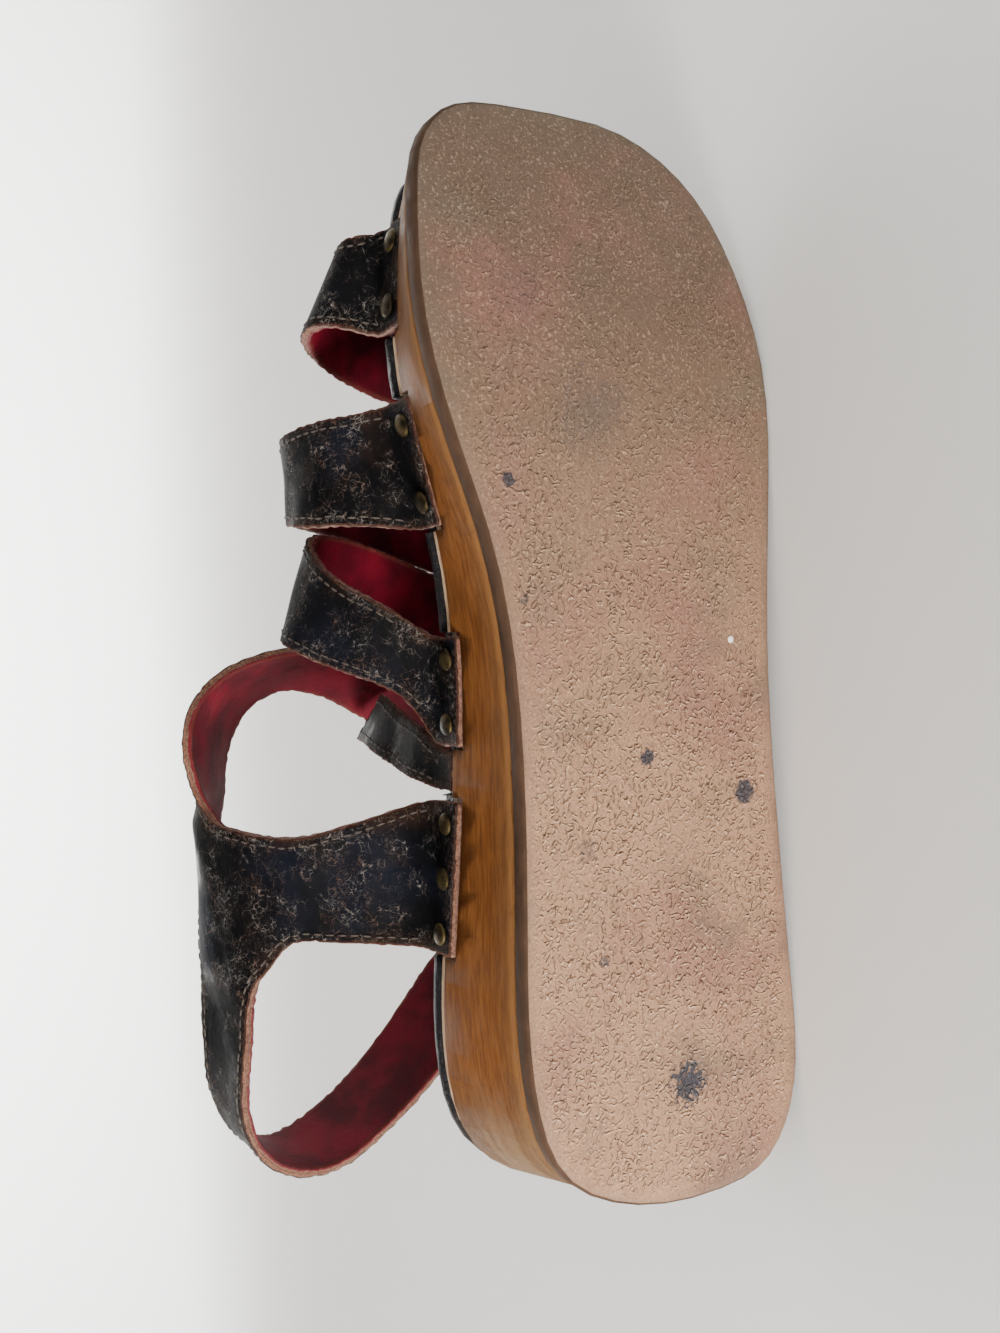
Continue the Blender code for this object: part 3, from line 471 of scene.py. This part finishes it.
def strap_black():
    f = Finish("strap_leather_black")
    here = f.place()
    rim_near = f.fade(f.kept("rim"), 0.0060, 0.0003)
    bend = f.kept("bend")
    large = f.fade(f.cell_edge(f.stirred(here, 240.0, 0.0030), 280.0), 0.027, 0.003)
    small = f.fade(f.cell_edge(f.stirred(here, 560.0, 0.0018), 640.0), 0.056, 0.006)
    hair = f.fade(f.cell_edge(f.stirred(here, 1100.0, 0.0010), 1300.0), 0.080, 0.008)
    where = f.calc("ADD", f.cloud(here, 120.0, 4.0, 0.7), f.calc("MULTIPLY", rim_near, 0.16))
    where = f.calc("ADD", where, f.calc("MULTIPLY", bend, 0.14))
    cracks = f.calc("MULTIPLY", large, f.fade(where, 0.44, 0.68))
    cracks = f.calc("MAXIMUM", cracks, f.calc("MULTIPLY", small, f.fade(where, 0.48, 0.76, 0.0, 0.8)))
    cracks = f.calc("MAXIMUM", cracks, f.calc("MULTIPLY", hair, f.fade(where, 0.48, 0.78, 0.0, 0.5)))
    shown = f.calc("MULTIPLY", cracks, f.fade(f.cloud(here, 900.0, 3.0, 0.7), 0.40, 0.62))
    # Patches of painted bluish sheen on the black leather
    color = f.paint(f.fade(f.cloud(here, 42.0, 3.0), 0.44, 0.66, 0.0, 0.8), LEATHER_BLACK, LEATHER_BLUE_SHEEN)
    browned = f.calc("ADD", f.cloud(here, 56.0, 3.0), f.calc("MULTIPLY", rim_near, 0.2))
    color = f.paint(f.fade(browned, 0.58, 0.84, 0.0, 0.8), color, LEATHER_BROWN)
    tint = f.paint(f.fade(f.cloud(here, 150.0), 0.40, 0.62), CRACK_BROWN, CRACK)
    color = f.paint(f.calc("MULTIPLY", shown, 0.5), color, tint)
    color = f.paint(f.fade(f.kept("rim"), 0.0006, 0.0001, 0.0, 0.6), color, RAW_BROWN)
    pebble = f.cloud(f.stirred(here, 260.0, 0.0022), 800.0, 3.0, 0.6)
    height = f.calc("SUBTRACT", f.calc("MULTIPLY", pebble, 0.6), f.calc("MULTIPLY", cracks, 0.8))
    height = f.calc("ADD", height, f.calc("MULTIPLY", f.cloud(here, 120.0, 2.0), 3.0))
    polished = f.calc("ADD", f.cloud(here, 58.0, 2.0), f.calc("MULTIPLY", bend, 0.12))
    rough = f.calc("ADD", f.fade(polished, 0.50, 0.74, 0.66, 0.30), f.calc("MULTIPLY", shown, 0.2))
    return f.done(color, rough, f.relief(height, 0.00024), Specular_IOR_Level=0.06)


def lining_red():
    f = Finish("lining_leather_red")
    here = f.place()
    # The lining's red and a shaded copy of it, mixed by noise into patches and streaks of painted shade
    color = f.paint(f.fade(f.cloud(here, 60.0, 4.0), 0.35, 0.68), LINING_RED_SHADED, LINING_RED)
    streaks = f.cloud(f.place((60.0, 220.0, 220.0)), 1.0, 4.0)
    color = f.paint(f.fade(streaks, 0.55, 0.78, 0.0, 0.5), color, LINING_RED_SHADED)
    color = f.paint(f.fade(f.kept("rim"), 0.0016, 0.0002, 0.0, 0.55), color, RAW_BROWN)
    height = f.calc("ADD", f.cloud(here, 1300.0, 3.0), f.calc("MULTIPLY", f.cloud(here, 210.0, 2.0), 1.6))
    return f.done(color, 0.62, f.relief(height, 0.00016), Specular_IOR_Level=0.12)


def raw_edge():
    f = Finish("strap_raw_edge")
    here = f.place()
    ply = f.kept("ply")
    fuzz = f.cloud(f.stirred(here, 1200.0, 0.0008), 1600.0, 4.0, 0.75)
    color = f.paint(f.fade(fuzz, 0.36, 0.66), RAW_BROWN, RAW_TAN)
    color = f.paint(f.fade(f.cloud(here, 110.0, 3.0), 0.50, 0.74, 0.0, 0.6), color, RAW_BROWN)
    color = f.paint(f.fade(ply, 0.66, 0.80, 0.0, 0.95), color, LINING_RED)
    color = f.paint(f.fade(ply, 0.20, 0.08, 0.0, 0.92), color, LEATHER_BLACK)
    seam = f.fade(f.calc("ABSOLUTE", f.calc("SUBTRACT", ply, 0.52)), 0.07, 0.0)
    color = f.paint(f.calc("MULTIPLY", seam, 0.55), color, RAW_BROWN)
    height = f.calc("SUBTRACT", f.calc("MULTIPLY", fuzz, 1.6), seam)
    return f.done(color, 0.9, f.relief(height, 0.00045), Specular_IOR_Level=0.1, Sheen_Weight=0.15)


STRAP_FINISHES = [strap_black(), lining_red(), raw_edge()]


def creased(points, node):
    """Offsets along the normals from the listed creases of one strap, and how sharply it bends there."""
    offset = np.zeros(len(points))
    bend = np.zeros(len(points))
    measures = shoe_measures(points) * 1000
    for start, stop, depth, half in CREASES[node]:
        a, b = np.array(start, float), np.array(stop, float)
        share = np.clip(((measures - a) @ (b - a)) / ((b - a) @ (b - a)), 0, 1)
        gap = np.linalg.norm(measures - a - share[:, None] * (b - a), axis=1)
        taper = np.sin(np.pi * np.clip(share, 0.04, 0.96)) ** 0.5
        swell = np.exp(-(gap / (half + CREASE_SOFT)) ** 2)
        offset += depth / 1000 * swell * taper
        bend = np.maximum(bend, swell * taper)
    return offset, bend


def regions_between(form, keen):
    """The form's faces in groups that meet at keen edges only, the largest group first."""
    left, regions = set(form.faces), []
    while left:
        group, stack = set(), [left.pop()]
        while stack:
            face = stack.pop()
            group.add(face)
            for edge in face.edges:
                if edge in keen:
                    continue
                for other in edge.link_faces:
                    if other in left:
                        left.discard(other)
                        stack.append(other)
        regions.append(group)
    return sorted(regions, key=lambda group: -sum(face.calc_area() for face in group))


def sort_faces(form, inside):
    """Gives a strap's faces their finishes: the two large sides are outside and lining, the rest raw edge."""
    crease = form.edges.layers.float.new("crease_edge")
    keen = {e for e in form.edges if len(e.link_faces) == 2 and e.calc_face_angle() > KEEN}
    for edge in keen:
        edge[crease] = KEEN_CREASE
    regions = regions_between(form, keen)
    facing = [sum((f.calc_center_median() - inside).dot(f.normal) * f.calc_area() for f in group)
              for group in regions[:2]]
    outside = 0 if facing[0] > facing[1] else 1
    for number, group in enumerate(regions):
        for face in group:
            face.material_index = RAW if number > 1 else (OUTSIDE if number == outside else LINING)


def subdivided(name, form, levels):
    """The form as a mesh, subdivided."""
    mesh = bpy.data.meshes.new(name)
    form.to_mesh(mesh)
    form.free()
    rough_cut = bpy.data.objects.new(name + "_cut", mesh)
    bpy.context.scene.collection.objects.link(rough_cut)
    modifier = rough_cut.modifiers.new("smooth", "SUBSURF")
    modifier.levels = modifier.render_levels = levels
    graph = bpy.context.evaluated_depsgraph_get()
    fine = bpy.data.meshes.new_from_object(rough_cut.evaluated_get(graph))
    bpy.data.objects.remove(rough_cut)
    return fine


def frayed(spot):
    """How a raw edge wanders at one place."""
    shifts = (0, 0, 0), (9, 0, 0), (0, 9, 0)
    return np.array([noise.noise(spot * FRAY_NOISE + Vector(shift)) for shift in shifts])


def leather(name, node, levels, inside):
    """A strap with outside, lining and raw edge, subdivided, creased and frayed."""
    form = copy_of(node)
    bmesh.ops.join_triangles(form, faces=form.faces[:], angle_face_threshold=PAIR_FACES,
                             angle_shape_threshold=PAIR_SHAPE)
    form.normal_update()
    sort_faces(form, inside)
    fine = subdivided(name, form, levels)
    points = corners(fine)
    spots = [tuple(p) for p in points]
    sides = [[], [], []]
    for face in fine.polygons:
        sides[face.material_index].append(tuple(face.vertices))
    surface = BVHTree.FromPolygons(spots, sides[OUTSIDE])
    lining = BVHTree.FromPolygons(spots, sides[LINING])
    raw = set()
    for face in sides[RAW]:
        raw.update(face)
    edge_tree = KDTree(len(raw))
    for v in raw:
        edge_tree.insert(points[v], v)
    edge_tree.balance()
    offset, bend = creased(points, node)
    push = np.array([surface.find_nearest(Vector(p))[1] for p in points])
    moved = points + push * offset[:, None]
    ply = np.full(len(points), 0.5)
    for v in raw:
        spot = Vector(points[v])
        near, far = surface.find_nearest(spot)[3], lining.find_nearest(spot)[3]
        ply[v] = near / (near + far + 1e-9)
        moved[v] += frayed(spot) * FRAY
    fine.vertices.foreach_set("co", moved.astype(np.float32).ravel())
    rim_gap = np.array([edge_tree.find(Vector(p))[2] for p in points])
    while fine.materials:
        fine.materials.pop()
    for finish in STRAP_FINISHES:
        fine.materials.append(finish)
    fine.shade_smooth()
    record_value(fine, "measures", shoe_measures(moved))
    record_value(fine, "rim", rim_gap)
    record_value(fine, "ply", ply)
    record_value(fine, "bend", bend)
    made = bpy.data.objects.new(name, fine)
    bpy.context.scene.collection.objects.link(made)
    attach(made, "root")
    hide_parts(node)
    return made


straps = [leather(name, node, levels, in_frame(*inside)) for name, node, levels, inside in STRAPS]

# Tacks: domed heads of aged brass, driven through the strap ends into the wood. One head is turned from its
# profile and set on each place by a node tree, square to the strap.
TACK_BRASS = rgb(84, 72, 46)
TACK_DARK = rgb(40, 34, 26)
TACK_RADIUS = 0.0028
TACK_DOME = 0.0013              # height of the head
TACK_RIM = 0.16                 # height of its rim, as a share of the dome's
TACK_UNDER = 0.97               # radius of its underside, as a share of the head's
TACK_STEPS = 8                  # points of its profile from rim to crown
TACK_SIDES = 28
MIDDLE = in_frame(0.135, 0.0, 0.035)    # inside the straps, which every tack points away from
tack_nodes = sorted(n for n in frame["nodes"] if n.startswith("tack_"))


def aged_brass():
    f = Finish("dark_tack_brass")
    here = f.place()
    worn = f.fade(f.cloud(here, 260.0, 4.0), 0.38, 0.64)
    color = f.paint(worn, TACK_DARK, TACK_BRASS)
    rough = f.fade(f.cloud(here, 420.0), 0.3, 0.7, 0.42, 0.64)
    return f.done(color, rough, f.relief(f.cloud(here, 900.0, 3.0), 0.00010), Metallic=1.0)


def turned(mesh, profile, sides, same):
    """Turns a profile of radii and heights round the upright axis, and recalculates the normals."""
    form = bmesh.new()
    line = [form.verts.new((x, 0.0, z)) for x, z in profile]
    edges = [form.edges.new(pair) for pair in zip(line, line[1:])]
    bmesh.ops.spin(form, geom=line + edges, cent=(0, 0, 0), axis=(0, 0, 1), angle=2 * math.pi, steps=sides)
    bmesh.ops.remove_doubles(form, verts=form.verts, dist=same)
    bmesh.ops.recalc_face_normals(form, faces=form.faces)
    form.to_mesh(mesh)
    form.free()


def new_tree(name, sizes):
    """A node tree from geometry to geometry, with a named input for each size, and its input node."""
    tree = bpy.data.node_groups.new(name, "GeometryNodeTree")
    tree.interface.new_socket("Geometry", in_out="INPUT", socket_type="NodeSocketGeometry")
    for key, value in sizes.items():
        size = tree.interface.new_socket(key, in_out="INPUT", socket_type="NodeSocketFloat")
        size.default_value = value
    tree.interface.new_socket("Geometry", in_out="OUTPUT", socket_type="NodeSocketGeometry")
    return tree, tree.nodes.new("NodeGroupInput")


def set_and_finish(tree, places, form, direction, finish):
    """Ends a tree: sets the form on every place, its Z along the direction, as real faces of one finish."""
    nodes, links = tree.nodes, tree.links
    turn = nodes.new("FunctionNodeAlignRotationToVector")
    turn.axis = "Z"
    links.new(direction, turn.inputs["Vector"])
    place = nodes.new("GeometryNodeInstanceOnPoints")
    links.new(places, place.inputs["Points"])
    links.new(form, place.inputs["Instance"])
    links.new(turn.outputs["Rotation"], place.inputs["Rotation"])
    real = nodes.new("GeometryNodeRealizeInstances")
    links.new(place.outputs["Instances"], real.inputs["Geometry"])
    paint = nodes.new("GeometryNodeSetMaterial")
    paint.inputs["Material"].default_value = finish
    links.new(real.outputs["Geometry"], paint.inputs["Geometry"])
    go = nodes.new("NodeGroupOutput")
    links.new(paint.outputs["Geometry"], go.inputs["Geometry"])
    return place


def tack_tree(head_item, finish):
    """Sets one tack head on every vertex, square to the strap. Size is its share of the head's own size."""
    tree, come = new_tree("set_tacks", {"Size": 1.0})
    nodes, links = tree.nodes, tree.links
    form = nodes.new("GeometryNodeObjectInfo")
    form.inputs["Object"].default_value = head_item
    out = nodes.new("GeometryNodeInputNamedAttribute")
    out.data_type = "FLOAT_VECTOR"
    out.inputs["Name"].default_value = "out"
    spots = nodes.new("GeometryNodeMeshToPoints")
    links.new(come.outputs["Geometry"], spots.inputs["Mesh"])
    place = set_and_finish(tree, spots.outputs["Points"], form.outputs["Geometry"], out.outputs["Attribute"],
                           finish)
    links.new(come.outputs["Size"], place.inputs["Scale"])
    return tree


def plain_mesh(item, tree, name):
    """Runs a node tree on an object and keeps the result as a plain mesh."""
    modifier = item.modifiers.new(name, "NODES")
    modifier.node_group = tree
    graph = bpy.context.evaluated_depsgraph_get()
    mesh = bpy.data.meshes.new_from_object(item.evaluated_get(graph))
    bpy.data.objects.remove(item)
    mesh.name = name
    mesh.shade_smooth()
    if "out" in mesh.attributes:
        mesh.attributes.remove(mesh.attributes["out"])
    record_value(mesh, "measures", shoe_measures(corners(mesh)))
    made = bpy.data.objects.new(name, mesh)
    bpy.context.scene.collection.objects.link(made)
    return made


seats_form = bmesh.new()
outward = []
for node in tack_nodes:
    points = corners(frame["nodes"][node].data)
    middle = points.mean(axis=0)
    out = np.linalg.svd(points - middle)[2][2]
    if (np.array(MIDDLE) - middle) @ out > 0:
        out = -out
    seats_form.verts.new(middle + out * ((points - middle) @ out).min())
    outward.append(out)
seats = bpy.data.meshes.new("tack_seats")
seats_form.to_mesh(seats)
seats_form.free()
record_value(seats, "out", np.array(outward))
seats_object = bpy.data.objects.new("tack_seats", seats)
bpy.context.scene.collection.objects.link(seats_object)

dome = [(TACK_RADIUS * math.cos(a), TACK_DOME * (TACK_RIM + (1 - TACK_RIM) * math.sin(a)))
        for a in np.linspace(0, math.pi / 2, TACK_STEPS)]
profile = [(0.0, 0.0), (TACK_RADIUS * TACK_UNDER, 0.0)] + dome[:-1] + [(0.0, TACK_DOME)]
head_mesh = bpy.data.meshes.new("tack_head")
turned(head_mesh, profile, TACK_SIDES, SAME_SPOT)
head_object = bpy.data.objects.new("tack_head", head_mesh)
tack_heads = plain_mesh(seats_object, tack_tree(head_object, aged_brass()), "tack_heads")
bpy.data.objects.remove(head_object)
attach(tack_heads, "root")
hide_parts(*tack_nodes)

# Stitching: one row of brown black waxed thread, 2 mm inside the long edges of every strap. A node tree
# spaces the stitches along each row and sinks each one a little into the leather.
THREAD = rgb(38, 33, 30)
THREAD_WORN = rgb(92, 80, 70)
STITCH = 0.0030                 # from one stitch to the next
STITCH_HALF = 0.37              # half length of a stitch, as a share of that
THREAD_RADIUS = 0.00026
THREAD_PROUD = 0.35             # height of its middle above the leather, as a share of the radius
THREAD_SIDES = 8, 5             # faces round a stitch, and along it
SEAM_IN = 0.0021                # from the raw edge to the row
SEWN_FROM = 0.049               # rows start this far above the walking face at the heel,
SEWN_DROP = 0.07                # and lower by this much per metre toward the toe
SEWN_TURN = 0.7                 # a row stops at a corner that turns more, in radians
LOOP_AT_LEAST = 40              # edge vertices in a loop that is sewn
ROW_AT_LEAST = 9                # places in a row that is kept
ROW_GAP = 0.004                 # places farther apart aren't joined
RUN = 3                         # vertices to each side that give an edge its direction
TURN_RUN = 6                    # and its turning


def thread_finish():
    f = Finish("waxed_thread")
    twist = f.cloud(f.place(), 3200.0, 1.0)
    color = f.paint(f.fade(twist, 0.3, 0.7), THREAD, THREAD_WORN)
    return f.done(color, 0.7, f.relief(twist, 0.0001))


def edge_loops(points, faces):
    """The loops of open edges round some faces, and at each of their vertices the way into the faces."""
    borders = {}
    for face in faces:
        for a, b in zip(face, face[1:] + face[:1]):
            borders.setdefault((min(a, b), max(a, b)), []).append((a, b, face))
    after, inward = {}, {}
    for a, b, face in [found[0] for found in borders.values() if len(found) == 1]:
        after[a] = b
        middle = sum((Vector(points[v]) for v in face), Vector()) / len(face)
        inward.setdefault(a, Vector())
        inward[a] += middle - (Vector(points[a]) + Vector(points[b])) / 2
    loops, left = [], set(after)
    while left:
        loop = [left.pop()]
        while after.get(loop[-1]) in left:
            loop.append(after[loop[-1]])
            left.discard(loop[-1])
        if len(loop) >= LOOP_AT_LEAST:
            loops.append(loop)
    return loops, inward


def seam_rows(strap):
    """Rows of points on the outside, one stitch margin inside its raw edge, away from the wood."""
    points = corners(strap.data)
    outer = [tuple(p.vertices) for p in strap.data.polygons if p.material_index == OUTSIDE]
    surface = BVHTree.FromPolygons([tuple(p) for p in points], outer)
    loops, inward = edge_loops(points, outer)
    rows = []
    for loop in loops:
        row = []
        size = len(loop)
        for k, v in enumerate(loop):
            spot = Vector(points[v])
            run = Vector(points[loop[(k + RUN) % size]]) - Vector(points[loop[k - RUN]])
            before = spot - Vector(points[loop[k - TURN_RUN]])
            behind = Vector(points[loop[(k + TURN_RUN) % size]]) - spot
            turning = before.angle(behind, 0.0) if before.length > 0 and behind.length > 0 else 0.0
            step = sum((inward[loop[(k + j) % size]] for j in range(-RUN, RUN + 1)), Vector())
            step -= run * (step.dot(run) / max(run.length_squared, 1e-12))
            along, _, up = shoe_measures(points[v])
            if up > SEWN_FROM - SEWN_DROP * along and turning < SEWN_TURN and step.length > 0:
                seat, normal, _, _ = surface.find_nearest(spot + step.normalized() * SEAM_IN)
                row.append(seat + normal * THREAD_RADIUS * THREAD_PROUD)
            elif row:
                rows.append(row)
                row = []
        if row:
            rows.append(row)
    return [row for row in rows if len(row) >= ROW_AT_LEAST]


def stitch_tree(finish):
    """Sets a long bead of thread at each step along every row."""
    tree, come = new_tree("sew", {"Spacing": STITCH, "Thread": THREAD_RADIUS})
    nodes, links = tree.nodes, tree.links
    curve = nodes.new("GeometryNodeMeshToCurve")
    links.new(come.outputs["Geometry"], curve.inputs["Mesh"])
    spaced = nodes.new("GeometryNodeResampleCurve")
    spaced.mode = "LENGTH"
    links.new(curve.outputs["Curve"], spaced.inputs["Curve"])
    links.new(come.outputs["Spacing"], spaced.inputs["Length"])
    tangent = nodes.new("GeometryNodeInputTangent")
    bead = nodes.new("GeometryNodeMeshUVSphere")
    bead.inputs["Segments"].default_value, bead.inputs["Rings"].default_value = THREAD_SIDES
    links.new(come.outputs["Thread"], bead.inputs["Radius"])
    long_bead = nodes.new("GeometryNodeTransform")
    long_bead.inputs["Scale"].default_value = (1.0, 1.0, STITCH * STITCH_HALF / THREAD_RADIUS)
    links.new(bead.outputs["Mesh"], long_bead.inputs["Geometry"])
    set_and_finish(tree, spaced.outputs["Curve"], long_bead.outputs["Geometry"], tangent.outputs["Tangent"],
                   finish)
    return tree


sewing = bmesh.new()
for strap in straps:
    for row in seam_rows(strap):
        line = [sewing.verts.new(spot) for spot in row]
        for a, b in zip(line, line[1:]):
            if (a.co - b.co).length < ROW_GAP:
                sewing.edges.new((a, b))
rows_mesh = bpy.data.meshes.new("seam_rows")
sewing.to_mesh(rows_mesh)
sewing.free()
rows_object = bpy.data.objects.new("seam_rows", rows_mesh)
bpy.context.scene.collection.objects.link(rows_object)
stitches = plain_mesh(rows_object, stitch_tree(thread_finish()), "stitches")
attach(stitches, "root")

# Floor, light and camera: a pale paper bowl under and round the sandal, soft studio lamps, and the camera
# where the photograph was taken from, rolled so that the toe points up the picture as the sandal lies.
PAPER = rgb(246, 245, 243)
BOWL_FLAT = 1.6                 # flat radius
BOWL_COVE = 1.0                 # radius of the cove
BOWL_HEIGHT = 3.2
BOWL_SIDES = 72
COVE_STEPS = np.linspace(0.1, 1.5, 12)      # angles up the cove
BOWL_SAME_SPOT = 1e-5
SKY = 0.32                      # strength of the white surroundings
SANDAL_MIDDLE = (0.0, 0.0, 0.05)
WARM, COOL, WHITE = (1.0, 0.96, 0.91), (0.96, 0.98, 1.0), (1.0, 1.0, 1.0)
# Lamps: name, place, what it points at, width, watts, colour, and its spread in degrees
LAMPS = [
    ("key_lamp", (-0.80, -0.62, 0.20), SANDAL_MIDDLE, 0.36, 22.0, WARM, 180),
    ("toe_lamp", (0.90, -0.70, 0.30), SANDAL_MIDDLE, 0.80, 2.5, COOL, 180),
    ("paper_lamp_1", (-1.10, 0.70, 2.00), (-0.30, 2.50, 0.70), 0.90, 55.0, WHITE, 100),
    ("paper_lamp_2", (1.10, 0.70, 2.00), (0.30, 2.50, 0.70), 0.90, 55.0, WHITE, 100),
]
SENSOR = 36.0                   # millimetres
FOCAL = 27.13                   # millimetres, as fitted to the photograph
CLOSER = 1.22                   # frames the sandal
CAMERA_AT = (0.1450, 0.1731, -0.2380)       # in the sandal's measures, as the two below
AIM_AT = (0.1335, 0.0215, 0.0300)
PICTURE_UP = (0.9943, -0.1064, 0.0055)

cove = [(BOWL_FLAT + BOWL_COVE * math.sin(a), BOWL_COVE - BOWL_COVE * math.cos(a)) for a in COVE_STEPS]
profile = [(0.0, 0.0), (BOWL_FLAT, 0.0)] + cove + [(BOWL_FLAT + BOWL_COVE, BOWL_HEIGHT)]
bowl = bpy.data.meshes.new("pale_bowl")
turned(bowl, profile, BOWL_SIDES, BOWL_SAME_SPOT)
bowl.shade_smooth()
bowl.materials.append(Finish("white_paper").done(PAPER, 0.9, Specular_IOR_Level=0.05))
floor = bpy.data.objects.new("floor", bowl)
bpy.context.scene.collection.objects.link(floor)

for name, at, toward, width, watts, color, spread in LAMPS:
    light = bpy.data.lights.new(name, "AREA")
    light.shape = "DISK"
    light.size = width
    light.energy = watts
    light.color = color
    light.spread = math.radians(spread)
    lamp = bpy.data.objects.new(name, light)
    bpy.context.scene.collection.objects.link(lamp)
    lamp.location = at
    lamp.rotation_euler = (Vector(toward) - Vector(at)).to_track_quat("-Z", "Y").to_euler()
world = bpy.data.worlds.new("studio")
bpy.context.scene.world = world
world.use_nodes = True
world.node_tree.nodes["Background"].inputs["Color"].default_value = (1.0, 1.0, 1.0, 1.0)
world.node_tree.nodes["Background"].inputs["Strength"].default_value = SKY

camera_data = bpy.data.cameras.new("camera")
camera_data.sensor_width = SENSOR
camera_data.lens = FOCAL * CLOSER
camera_data.clip_start = 0.01
camera_data.clip_end = 20.0
camera = bpy.data.objects.new("camera", camera_data)
bpy.context.scene.collection.objects.link(camera)
eye = in_frame(*CAMERA_AT)
look = (in_frame(*AIM_AT) - eye).normalized()
picture_up = ALONG * PICTURE_UP[0] + MEDIAL * PICTURE_UP[1] + UP * PICTURE_UP[2]
right = look.cross(picture_up).normalized()
top = right.cross(look)
camera.matrix_world = Matrix.Translation(eye) @ Matrix((right, top, -look)).transposed().to_4x4()
bpy.context.scene.camera = camera
